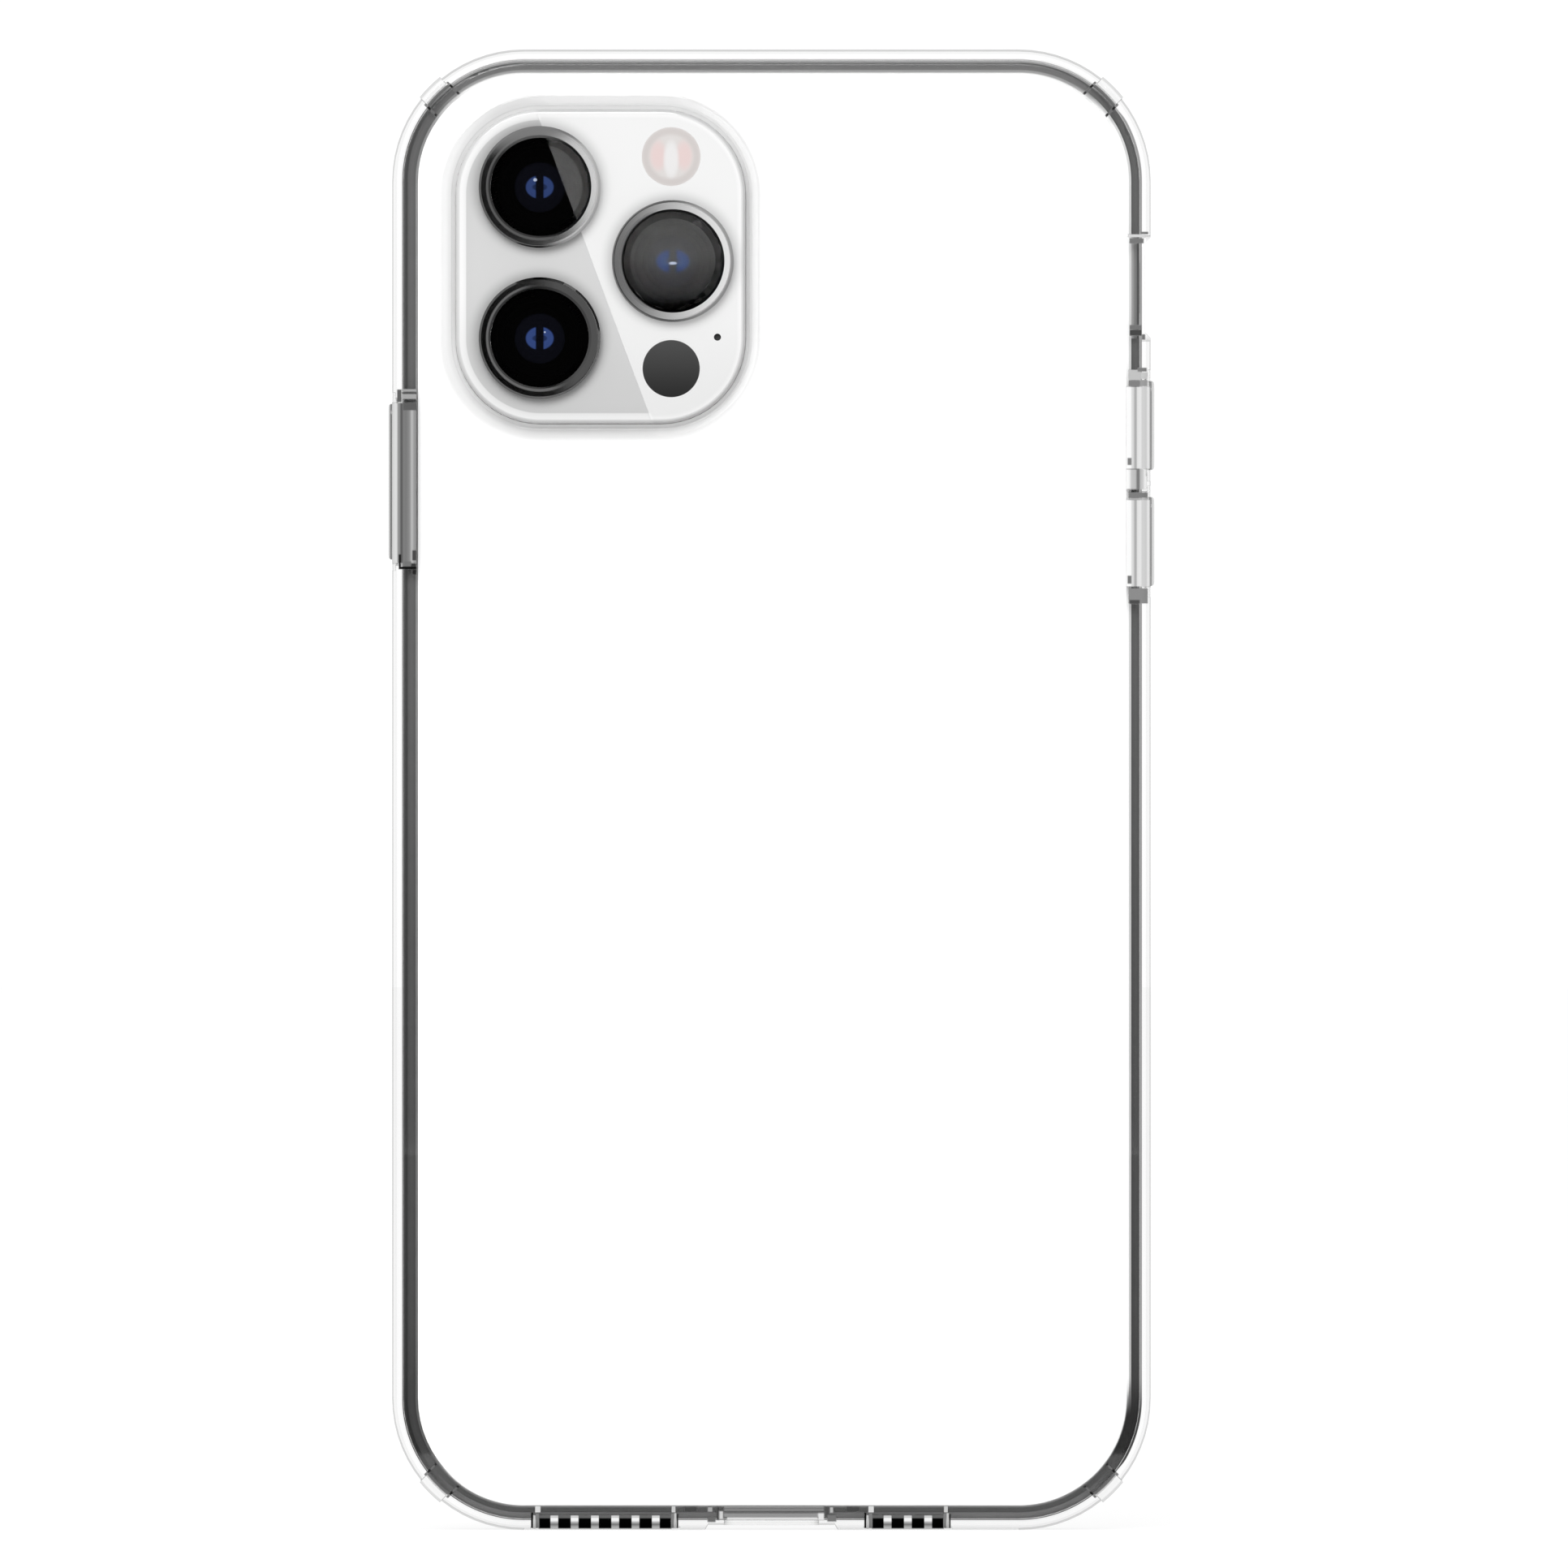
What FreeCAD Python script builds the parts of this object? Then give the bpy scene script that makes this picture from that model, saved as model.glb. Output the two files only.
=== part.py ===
import FreeCAD, Part
import os
import re
import Sketcher

# A clear phone case standing on its bottom edge, with a display dummy of a phone in it.
# +Z runs up the length of the case, +Y leaves through the display, and the back faces -Y.
# The origin is on the bottom outer face, half way across the wall.

DIMENSIONS = [
    # Outline of the case and its layers, counted in from the outside
    ("case_width", 74.8),
    ("case_height", 146.0),
    ("case_radius", 13.0),
    ("wall", 1.0),
    ("fit_gap", 0.1),
    ("panel_inset", 2.4),
    ("band_width", 1.45),
    ("display_inset", 2.1),
    ("core_inset", 2.85),
    # Levels through the depth
    ("case_back", -4.9),
    ("case_front", 4.9),
    ("panel_front", -3.6),
    ("phone_back", -3.55),
    ("frame_front", 3.65),
    ("back_glass_front", -2.85),
    ("display_back", 3.0),
    ("display_front", 3.85),
    ("screen_back", 2.5),
    ("edge_round_back", 1.0),
    ("edge_round_front", 0.8),
    # Camera island and guard
    ("island_x", -16.84),
    ("island_z", 124.56),
    ("island_width", 28.6),
    ("island_height", 31.0),
    ("island_radius", 8.4),
    ("island_face", -5.2),
    ("island_round", 0.45),
    ("island_gap", 0.03),
    ("guard_gap", 0.35),
    ("guard_wall", 1.45),
    ("guard_top", -6.3),
    ("guard_round", 0.6),
    # Lenses
    ("lens_left_x", -22.84),
    ("lens_right_x", -9.72),
    ("lens_upper_z", 132.4),
    ("lens_lower_z", 117.5),
    ("lens_side_z", 125.1),
    ("ring_radius", 6.0),
    ("ring_top", -6.15),
    ("ring_chamfer", 0.22),
    ("ring_mouth", 5.1),
    ("lens_seat", -3.6),
    ("lens_glass_radius", 4.85),
    ("lens_glass_top", -5.75),
    ("lens_glass_bottom", -5.35),
    ("barrel_top_radius", 4.2),
    ("barrel_step", -4.75),
    ("barrel_bore", 2.5),
    ("barrel_floor", -3.85),
    ("element_crown", -4.7),
    ("element_edge", -4.45),
    # Flash, sensor and microphone in the island
    ("flash_x", -9.88),
    ("flash_z", 135.4),
    ("flash_radius", 2.9),
    ("flash_seat", -4.3),
    ("flash_under", -4.6),
    ("emitter_size", 1.1),
    ("emitter_offset", 0.85),
    ("sensor_x", -9.88),
    ("sensor_z", 114.5),
    ("sensor_radius", 2.95),
    ("mic_x", -5.32),
    ("mic_z", 117.6),
    ("mic_radius", 0.35),
    ("mic_top", -4.75),
    # Keys on the phone and their covers in the case
    ("side_key_z", 103.4),
    ("side_cover_length", 15.4),
    ("volume_up_z", 108.95),
    ("volume_down_z", 97.5),
    ("volume_cover_length", 8.8),
    ("cover_depth", 4.0),
    ("cover_radius", 1.2),
    ("cover_proud", 0.4),
    ("cover_round", 0.3),
    ("cover_gap", 0.1),
    ("cover_inner", 36.85),
    ("flange_outer", 37.02),
    ("flange_width", 0.5),
    ("flange_pocket", 37.1),
    ("key_trim", 2.2),
    ("key_depth", 3.0),
    ("key_radius", 1.45),
    ("key_outer", 36.8),
    ("key_inner", 35.25),
    ("key_gap", 0.08),
    ("channel_wall", 36.9),
    ("end_step_length", 1.0),
    ("end_step_depth", 0.3),
    # Mute switch and its cut-out
    ("mute_z", 122.5),
    ("mute_length", 10.4),
    ("mute_back", -2.9),
    ("mute_radius", 1.6),
    ("mute_rim", 36.85),
    ("mute_flare", 0.8),
    ("switch_length", 5.0),
    ("switch_depth", 1.9),
    ("switch_travel", 1.2),
    ("switch_slot_depth", 3.3),
    ("switch_outer", 36.45),
    ("switch_inner", 35.0),
    # Port and bottom edge
    ("port_width", 9.4),
    ("port_depth", 5.8),
    ("port_radius", 1.8),
    ("port_flare_width", 13.7),
    ("port_flare_rise", 0.5),
    ("port_flare_run", 0.6),
    ("shell_width", 9.0),
    ("shell_depth", 3.2),
    ("shell_wall", 0.3),
    ("shell_bottom", 1.25),
    ("shell_top", 8.4),
    ("shell_floor", 7.7),
    ("tongue_width", 6.7),
    ("tongue_depth", 0.7),
    ("tongue_bottom", 2.2),
    ("hole_radius", 0.5),
    ("hole_pitch", 2.0),
    ("left_hole_x", -22.4),
    ("right_hole_x", 10.45),
    ("grille_depth", 4.4),
    ("grille_step", 0.2),
    ("grille_margin", 1.4),
    ("mesh_thickness", 0.25),
    ("screw_x", 6.6),
    ("screw_radius", 0.75),
    ("screw_recess", 0.15),
    ("screw_length", 3.0),
    ("screw_slot", 0.25),
    # Corner inserts
    ("cushion_seat", 12.3),
    ("cushion_proud", 0.2),
    ("cushion_length", 2.8),
    ("cushion_round", 0.7),
    # Inside the phone
    ("plate_thickness", 0.5),
    ("plate_inset", 2.6),
    ("inner_back", -2.7),
    ("block_radius", 1.0),
    ("battery_width", 65.0),
    ("battery_height", 84.0),
    ("battery_z", 62.0),
    ("board_x", 14.5),
    ("board_z", 122.75),
    ("board_width", 27.0),
    ("board_height", 33.5),
    ("camera_trim", 1.6),
    ("module_x", 15.1),
    ("module_z", 11.1),
    ("module_width", 19.6),
    ("module_height", 13.4),
    # Front of the phone
    ("earpiece_z", 142.55),
    ("earpiece_width", 10.0),
    ("earpiece_height", 0.7),
    ("camera_z", 138.9),
    ("camera_radius", 1.8),
]

LEFT_HOLES = 7
RIGHT_HOLES = 4
ISLAND = ("island_x", "island_z")
LENSES = {
    "upper": ("lens_left_x", "lens_upper_z"),
    "lower": ("lens_left_x", "lens_lower_z"),
    "side": ("lens_right_x", "lens_side_z"),
}
# Name, side of the case, middle and length of each key's cover
KEYS = [
    ("side_key", -1, "side_key_z", "side_cover_length"),
    ("volume_up", 1, "volume_up_z", "volume_cover_length"),
    ("volume_down", 1, "volume_down_z", "volume_cover_length"),
]
CORNERS = {
    "top_right": (1, 1, 45),
    "top_left": (-1, 1, 135),
    "bottom_left": (-1, -1, 225),
    "bottom_right": (1, -1, 315),
}

doc = FreeCAD.newDocument("phone_case")
dims = doc.addObject("Spreadsheet::Sheet", "Dims")
for row, (alias, number) in enumerate(DIMENSIONS, start=1):
    dims.set(f"A{row}", alias)
    dims.set(f"B{row}", str(number))
    dims.setAlias(f"B{row}", alias)
doc.recompute()


def formula(text):
    """Turn a formula in plain aliases into one that names the sheet."""
    return re.sub(r"[a-z][a-z_]*", lambda word: "Dims." + word.group(0), text)


def value(text):
    """Work out a formula in plain aliases."""
    return float(dims.evalExpression(formula(text)))


def bind(item, path, text):
    """Tie a property to a formula in plain aliases."""
    item.setExpression(path, formula(text))


def new_body(label):
    """Start a sub-part."""
    body = doc.addObject("PartDesign::Body", label)
    body.Label = label
    body.AllowCompound = True
    return body


def new_sketch(body, plane, level, origin=("0", "0"), turn=0):
    """Start a sketch on a plane of the body, at a level along the axis that crosses the plane."""
    sketch = body.newObject("Sketcher::SketchObject", body.Label + "_sketch")
    role = plane + "_Plane"
    sketch.AttachmentSupport = (
        next(item for item in body.Origin.OriginFeatures if item.Role == role), [""])
    sketch.MapMode = "FlatFace"
    sketch.AttachmentOffset = FreeCAD.Placement(
        FreeCAD.Vector(), FreeCAD.Rotation(FreeCAD.Vector(0, 0, 1), turn))
    bind(sketch, "AttachmentOffset.Base.x", origin[0])
    bind(sketch, "AttachmentOffset.Base.y", origin[1])
    bind(sketch, "AttachmentOffset.Base.z", f"-({level})" if plane == "XZ" else level)
    return sketch


def hold(sketch, item, point, x, y):
    """Fix a point of a sketch at formulas for its two coordinates."""
    for kind, text, axis in (("DistanceX", x, -2), ("DistanceY", y, -1)):
        number = value(text) if text else 0
        if text is None:
            continue
        if abs(number) < 1e-9:
            sketch.addConstraint(Sketcher.Constraint("PointOnObject", item, point, axis))
            continue
        index = sketch.addConstraint(Sketcher.Constraint(kind, -1, 1, item, point, number))
        bind(sketch, f"Constraints[{index}]", text)


def polygon(sketch, points):
    """Draw a closed polygon through corners given as formulas."""
    first = sketch.GeometryCount
    count = len(points)
    corners = [FreeCAD.Vector(value(x), value(y), 0) for x, y in points]
    for i in range(count):
        sketch.addGeometry(Part.LineSegment(corners[i], corners[(i + 1) % count]))
    for i in range(count):
        following = first + (i + 1) % count
        sketch.addConstraint(Sketcher.Constraint("Coincident", first + i, 2, following, 1))
    for i, (x, y) in enumerate(points):
        hold(sketch, first + i, 1, x, y)


def rectangle(sketch, left, bottom, right, top):
    """Draw a rectangle with square corners."""
    polygon(sketch, [(left, bottom), (right, bottom), (right, top), (left, top)])


def rounded(sketch, x, y, width, height, radius):
    """Draw a rectangle with round corners about a centre."""
    left, right = f"{x} - ({width}) / 2", f"{x} + ({width}) / 2"
    bottom, top = f"{y} - ({height}) / 2", f"{y} + ({height}) / 2"
    x_low, x_high, y_low, y_high, r = (value(t) for t in (left, right, bottom, top, radius))
    first = sketch.GeometryCount
    point = FreeCAD.Vector
    sides = [
        (point(x_low + r, y_low, 0), point(x_high - r, y_low, 0)),
        (point(x_high, y_low + r, 0), point(x_high, y_high - r, 0)),
        (point(x_high - r, y_high, 0), point(x_low + r, y_high, 0)),
        (point(x_low, y_high - r, 0), point(x_low, y_low + r, 0)),
    ]
    centres = [
        (x_high - r, y_low + r), (x_high - r, y_high - r),
        (x_low + r, y_high - r), (x_low + r, y_low + r),
    ]
    quarter = 1.5707963267948966
    for start, end in sides:
        sketch.addGeometry(Part.LineSegment(start, end))
    for i, (cx, cy) in enumerate(centres):
        circle = Part.Circle(point(cx, cy, 0), point(0, 0, 1), r)
        sketch.addGeometry(Part.ArcOfCircle(circle, (i - 1) * quarter, i * quarter))
    for i in range(4):
        line, arc, following = first + i, first + 4 + i, first + (i + 1) % 4
        sketch.addConstraint(Sketcher.Constraint("Tangent", line, 2, arc, 1))
        sketch.addConstraint(Sketcher.Constraint("Tangent", arc, 2, following, 1))
        direction = "Vertical" if i % 2 else "Horizontal"
        sketch.addConstraint(Sketcher.Constraint(direction, line))
        if i:
            sketch.addConstraint(Sketcher.Constraint("Equal", first + 4, arc))
    index = sketch.addConstraint(Sketcher.Constraint("Radius", first + 4, r))
    bind(sketch, f"Constraints[{index}]", radius)
    hold(sketch, first, 1, None, bottom)
    hold(sketch, first + 1, 1, right, None)
    hold(sketch, first + 2, 1, None, top)
    hold(sketch, first + 3, 1, left, None)


def circle(sketch, x, y, radius):
    """Draw a circle about a centre."""
    centre = FreeCAD.Vector(value(x), value(y), 0)
    item = sketch.addGeometry(
        Part.Circle(centre, FreeCAD.Vector(0, 0, 1), value(radius)))
    hold(sketch, item, 3, x, y)
    index = sketch.addConstraint(Sketcher.Constraint("Radius", item, value(radius)))
    bind(sketch, f"Constraints[{index}]", radius)


def corner_profile(sketch, inner, outer, length):
    """Draw a short block of a ring, across the sketch's own x axis."""
    point = FreeCAD.Vector
    half = value(length) / 2
    radii = [value(inner), value(outer)]
    for radius in radii:
        x = (radius ** 2 - half ** 2) ** 0.5
        ring = Part.Circle(point(0, 0, 0), point(0, 0, 1), radius)
        start, end = ring.parameter(point(x, -half, 0)), ring.parameter(point(x, half, 0))
        sketch.addGeometry(Part.ArcOfCircle(ring, start, end))
    ends = [(radius ** 2 - half ** 2) ** 0.5 for radius in radii]
    for sign in (-1, 1):
        sketch.addGeometry(Part.LineSegment(
            point(ends[0], sign * half, 0), point(ends[1], sign * half, 0)))
    for line, point_on_arc in ((2, 1), (3, 2)):
        for arc in (0, 1):
            sketch.addConstraint(
                Sketcher.Constraint("Coincident", line, arc + 1, arc, point_on_arc))
    for arc, text in ((0, inner), (1, outer)):
        sketch.addConstraint(Sketcher.Constraint("Coincident", arc, 3, -1, 1))
        index = sketch.addConstraint(Sketcher.Constraint("Radius", arc, value(text)))
        bind(sketch, f"Constraints[{index}]", text)
    for line, text in ((2, f"-({length}) / 2"), (3, f"({length}) / 2")):
        sketch.addConstraint(Sketcher.Constraint("Horizontal", line))
        hold(sketch, line, 1, None, text)


def pad(sketch, length, away=False):
    """Raise a sketch along its normal, or the other way."""
    body = sketch.getParentGeoFeatureGroup()
    feature = body.newObject("PartDesign::Pad", body.Label + "_pad")
    feature.Profile = sketch
    feature.Reversed = away
    bind(feature, "Length", length)
    doc.recompute()
    return feature


def pocket(sketch, length, away=False):
    """Cut a sketch against its normal, or the other way, and make sure that it cuts."""
    body = sketch.getParentGeoFeatureGroup()
    before = body.Shape.Volume
    feature = body.newObject("PartDesign::Pocket", body.Label + "_pocket")
    feature.Profile = sketch
    feature.Reversed = away
    bind(feature, "Length", length)
    doc.recompute()
    if body.Shape.Volume > before - 1e-4:
        raise RuntimeError(f"{feature.Label} cuts nothing")
    return feature


def turned(label, centre, points):
    """Make a sub-part by turning a profile of (radius, depth) corners about a lens axis."""
    body = new_body(label)
    sketch = new_sketch(body, "XY", centre[1], (centre[0], "0"))
    polygon(sketch, points)
    feature = body.newObject("PartDesign::Revolution", label + "_turn")
    feature.Profile = sketch
    feature.ReferenceAxis = (sketch, ["V_Axis"])
    feature.Angle = 360
    doc.recompute()
    return body


def outline(body, level, inset):
    """Sketch the case's outline, moved in by an inset, at a level through the depth."""
    sketch = new_sketch(body, "XZ", level)
    rounded(sketch, "0", "case_height / 2", f"case_width - 2 * ({inset})",
            f"case_height - 2 * ({inset})", f"case_radius - ({inset})")
    return sketch


def island_outline(body, level, grow):
    """Sketch the camera island's outline, grown by a margin."""
    sketch = new_sketch(body, "XZ", level)
    rounded(sketch, ISLAND[0], ISLAND[1], f"island_width + 2 * ({grow})",
            f"island_height + 2 * ({grow})", f"island_radius + ({grow})")
    return sketch


def outline_gap(point, centre, half, radius):
    """Distance of a point from a rectangle with round corners, seen along Y."""
    x = abs(point.x - centre[0]) - half[0] + radius
    z = abs(point.z - centre[1]) - half[1] + radius
    outside = (max(x, 0) ** 2 + max(z, 0) ** 2) ** 0.5
    return outside + min(max(x, z), 0) - radius


def edges_on(body, level, centre, half, radius):
    """Name the body's edges that follow an outline at a level."""
    names = []
    for number, edge in enumerate(body.Shape.Edges, start=1):
        first, last = edge.ParameterRange
        points = [edge.valueAt(first + (last - first) * part) for part in (0, 0.5, 1)]
        if all(abs(point.y - level) < 1e-4 for point in points):
            if all(abs(outline_gap(point, centre, half, radius)) < 1e-3 for point in points):
                names.append(f"Edge{number}")
    return names


def soften(body, names, radius):
    """Round the named edges."""
    if not names:
        raise RuntimeError(f"{body.Label} has no edge there")
    base = body.Tip
    feature = body.newObject("PartDesign::Fillet", body.Label + "_round")
    feature.Base = (base, names)
    bind(feature, "Radius", radius)
    doc.recompute()


def soften_outline(body, level, inset, radius):
    """Round the edge that follows the case's outline at a level."""
    step = value(inset)
    half = (value("case_width / 2") - step, value("case_height / 2") - step)
    centre = (0, value("case_height / 2"))
    names = edges_on(body, value(level), centre, half, value("case_radius") - step)
    soften(body, names, radius)


def soften_island(body, level, grow, radius):
    """Round the edge that follows the island's outline at a level."""
    step = value(grow)
    half = (value("island_width / 2") + step, value("island_height / 2") + step)
    centre = (value(ISLAND[0]), value(ISLAND[1]))
    names = edges_on(body, value(level), centre, half, value("island_radius") + step)
    soften(body, names, radius)


def grille(body, level, length, count, start):
    """Drill a row of holes up through the bottom edge."""
    sketch = new_sketch(body, "XY", level)
    for i in range(count):
        circle(sketch, f"{start} + {i} * hole_pitch", "0", "hole_radius")
    pocket(sketch, length)


def grille_ends(start, count):
    """Formulas for the two ends of the strip that a row of holes is in."""
    return (f"{start} - grille_margin", f"{start} + {count - 1} * hole_pitch + grille_margin")


# Case: soft rim

bumper = new_body("bumper_frame")
pad(outline(bumper, "case_front", "0"), "case_front - case_back")
soften_outline(bumper, "case_back", "0", "edge_round_back")
soften_outline(bumper, "case_front", "0", "edge_round_front")
pocket(outline(bumper, "panel_front", "wall"), "case_front - panel_front")
pocket(outline(bumper, "case_back - 1", "panel_inset"), "case_front - case_back + 2")

for name, side, middle, length in KEYS:
    away = side > 0
    inside = f"{side} * (case_width / 2 - wall - fit_gap)"
    flange = new_sketch(bumper, "YZ", inside)
    rounded(flange, "0", middle, "cover_depth + 2 * (flange_width + cover_gap)",
            f"{length} + 2 * (flange_width + cover_gap)", "cover_radius + flange_width + cover_gap")
    pocket(flange, "flange_pocket - case_width / 2 + wall + fit_gap", away)
    window = new_sketch(bumper, "YZ", inside)
    rounded(window, "0", middle, "cover_depth + 2 * cover_gap", f"{length} + 2 * cover_gap",
            "cover_radius + cover_gap")
    pocket(window, "2 * wall", away)
    channel = new_sketch(bumper, "YZ", inside)
    rectangle(channel, "0", f"{middle} - ({length}) / 2 + 0.5", "case_front + 1",
              f"{middle} + ({length}) / 2 - 0.5")
    pocket(channel, "channel_wall - case_width / 2 + wall + fit_gap", away)
    for end in (-1, 1):
        step = new_sketch(bumper, "YZ", f"{side} * (case_width / 2 - end_step_depth)")
        rectangle(step, "-cover_depth / 2", f"{middle} + {end} * (({length}) / 2)",
                  "cover_depth / 2",
                  f"{middle} + {end} * (({length}) / 2 + cover_gap + end_step_length)")
        pocket(step, "1", away)

notch = new_sketch(bumper, "YZ", "case_width / 2 - wall - fit_gap")
rounded(notch, "mute_back + case_front", "mute_z", "2 * case_front", "mute_length", "mute_radius")
pocket(notch, "2 * wall", True)
scoop = new_sketch(bumper, "XZ", "case_back - 1")
polygon(scoop, [
    ("mute_rim", "mute_z - mute_length / 2 + mute_flare"),
    ("case_width / 2 + 1", "mute_z - mute_length / 2 - mute_flare"),
    ("case_width / 2 + 1", "mute_z + mute_length / 2 + mute_flare"),
    ("mute_rim", "mute_z + mute_length / 2 - mute_flare"),
])
pocket(scoop, "mute_back - case_back + 1 + mute_radius")

port = new_sketch(bumper, "XY", "wall + fit_gap")
rounded(port, "0", "0", "port_width", "port_depth", "port_radius")
pocket(port, "2 * wall")
flare = new_sketch(bumper, "XZ", "case_back - 1")
polygon(flare, [
    ("-port_flare_width / 2", "-0.5"),
    ("port_flare_width / 2", "-0.5"),
    ("port_flare_width / 2 - port_flare_run", "port_flare_rise"),
    ("port_flare_run - port_flare_width / 2", "port_flare_rise"),
])
pocket(flare, "case_front - case_back + 2")

for start, count in (("left_hole_x", LEFT_HOLES), ("right_hole_x", RIGHT_HOLES)):
    low, high = grille_ends(start, count)
    strip = new_sketch(bumper, "XY", "grille_step")
    rectangle(strip, low, "-grille_depth / 2", high, "grille_depth / 2")
    pocket(strip, "1")
    grille(bumper, "wall + fit_gap", "2 * wall", count, start)

for name, (x_sign, z_sign, turn) in CORNERS.items():
    origin = (f"{x_sign} * (case_width / 2 - case_radius)",
              f"case_height / 2 + {z_sign} * (case_height / 2 - case_radius)")
    seat = new_sketch(bumper, "XZ", "case_back - 1", origin, turn)
    corner_profile(seat, "cushion_seat", "case_radius + 1", "cushion_length")
    pocket(seat, "case_front - case_back + 2")
    cushion = new_body("corner_cushion_" + name)
    block = new_sketch(cushion, "XZ", "case_front", origin, turn)
    corner_profile(block, "cushion_seat", "case_radius + cushion_proud", "cushion_length")
    pad(block, "case_front - case_back")
    reach = value("case_radius + cushion_proud")
    centre = [value(text) for text in origin]
    rims = []
    for number, edge in enumerate(cushion.Shape.Edges, start=1):
        ends = [edge.valueAt(edge.ParameterRange[0]), edge.valueAt(edge.ParameterRange[1])]
        radial = [((p.x - centre[0]) ** 2 + (p.z - centre[1]) ** 2) ** 0.5 for p in ends]
        if abs(ends[0].y - ends[1].y) < 1e-6 and all(abs(r - reach) < 1e-4 for r in radial):
            rims.append(f"Edge{number}")
    soften(cushion, rims, "cushion_round")

# Case: hard back and camera guard

panel = new_body("back_panel")
pad(outline(panel, "panel_front", "panel_inset"), "panel_front - case_back")
pocket(island_outline(panel, "case_back - 1", "guard_gap + guard_wall"),
       "panel_front - case_back + 2")

guard = new_body("camera_guard_ring")
pad(island_outline(guard, "panel_front", "guard_gap + guard_wall"), "panel_front - guard_top")
soften_island(guard, "guard_top", "guard_gap + guard_wall", "guard_round")
pocket(island_outline(guard, "guard_top - 1", "guard_gap"), "panel_front - guard_top + 2")
soften_island(guard, "guard_top", "guard_gap", "guard_round / 2")

# Case: key covers, each a head with a flange behind the wall

for name, side, middle, length in KEYS:
    away = side < 0
    cover = new_body(name + "_cover")
    flange = new_sketch(cover, "YZ", f"{side} * cover_inner")
    rounded(flange, "0", middle, "cover_depth + 2 * flange_width",
            f"{length} + 2 * flange_width", "cover_radius + flange_width")
    pad(flange, "flange_outer - cover_inner", away)
    head = new_sketch(cover, "YZ", f"{side} * cover_inner")
    rounded(head, "0", middle, "cover_depth", length, "cover_radius")
    pad(head, "case_width / 2 + cover_proud - cover_inner", away)
    face = value(f"{side} * (case_width / 2 + cover_proud)")
    rims = [f"Edge{number}" for number, edge in enumerate(cover.Shape.Edges, start=1)
            if abs(edge.BoundBox.XMin - face) < 1e-4 and abs(edge.BoundBox.XMax - face) < 1e-4]
    soften(cover, rims, "cover_round")

# Phone: metal band

frame = new_body("phone_frame")
band_inset = "wall + fit_gap"
pad(outline(frame, "frame_front", band_inset), "frame_front - phone_back")
soften_outline(frame, "phone_back", band_inset, "edge_round_back / 2")
soften_outline(frame, "frame_front", band_inset, "edge_round_back / 2")
glass_inset = "wall + fit_gap + band_width"
pocket(outline(frame, "phone_back - 1", glass_inset), "frame_front - phone_back + 2")
pocket(outline(frame, "display_back", "display_inset"), "frame_front - display_back + 1")

for name, side, middle, length in KEYS:
    away = side > 0
    slot = new_sketch(frame, "YZ", f"{side} * (case_width / 2 - core_inset)")
    rounded(slot, "0", middle, "key_depth + 2 * key_gap", f"{length} - key_trim + 2 * key_gap",
            "key_radius + key_gap")
    pocket(slot, "2 * band_width", away)
    key = new_body(name if name == "side_key" else name + "_key")
    block = new_sketch(key, "YZ", f"{side} * key_inner")
    rounded(block, "0", middle, "key_depth", f"{length} - key_trim", "key_radius")
    pad(block, "key_outer - key_inner", side < 0)
    face = value(f"{side} * key_outer")
    rims = [f"Edge{number}" for number, edge in enumerate(key.Shape.Edges, start=1)
            if abs(edge.BoundBox.XMin - face) < 1e-4 and abs(edge.BoundBox.XMax - face) < 1e-4]
    soften(key, rims, "cover_round / 2")

slot = new_sketch(frame, "YZ", "case_width / 2 - core_inset")
rounded(slot, "0", "mute_z", "switch_slot_depth", "switch_length + 2 * key_gap", "0.6")
pocket(slot, "2 * band_width", True)
switch = new_body("mute_switch")
block = new_sketch(switch, "YZ", "switch_inner")
rounded(block, "-switch_travel / 2", "mute_z", "switch_depth", "switch_length", "0.5")
pad(block, "switch_outer - switch_inner")

mouth = new_sketch(frame, "XY", "core_inset")
rounded(mouth, "0", "0", "shell_width", "shell_depth", "shell_depth / 2 - 0.05")
pocket(mouth, "2 * band_width")
for start, count in (("left_hole_x", LEFT_HOLES), ("right_hole_x", RIGHT_HOLES)):
    grille(frame, "core_inset", "2 * band_width", count, start)
bores = new_sketch(frame, "XY", "core_inset")
circle(bores, "-screw_x", "0", "screw_radius")
circle(bores, "screw_x", "0", "screw_radius")
pocket(bores, "2 * band_width")

# Phone: glass, screen and what is between them

back_glass = new_body("back_glass")
pad(outline(back_glass, "back_glass_front", glass_inset), "back_glass_front - phone_back")
pocket(island_outline(back_glass, "phone_back - 1", "island_gap"),
       "back_glass_front - phone_back + 2")

plate = new_body("midframe_plate")
pad(outline(plate, "screen_back", "plate_inset"), "plate_thickness")

screen_gap = "screen_back - plate_thickness"
for label, x, z, width, height, back in (
    ("battery", "0", "battery_z", "battery_width", "battery_height", "inner_back"),
    ("logic_board", "board_x", "board_z", "board_width", "board_height", "inner_back"),
    ("camera_module", "island_x", "island_z", "island_width - camera_trim",
     "island_height - camera_trim", "back_glass_front"),
    ("speaker_module", "-module_x", "module_z", "module_width", "module_height", "inner_back"),
    ("vibration_motor", "module_x", "module_z", "module_width", "module_height", "inner_back"),
):
    box = new_body(label)
    face = new_sketch(box, "XZ", screen_gap)
    rounded(face, x, z, width, height, "block_radius")
    pad(face, f"{screen_gap} - ({back})")

screen = new_body("display_panel")
pad(outline(screen, "display_back", "core_inset"), "display_back - screen_back")

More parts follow.
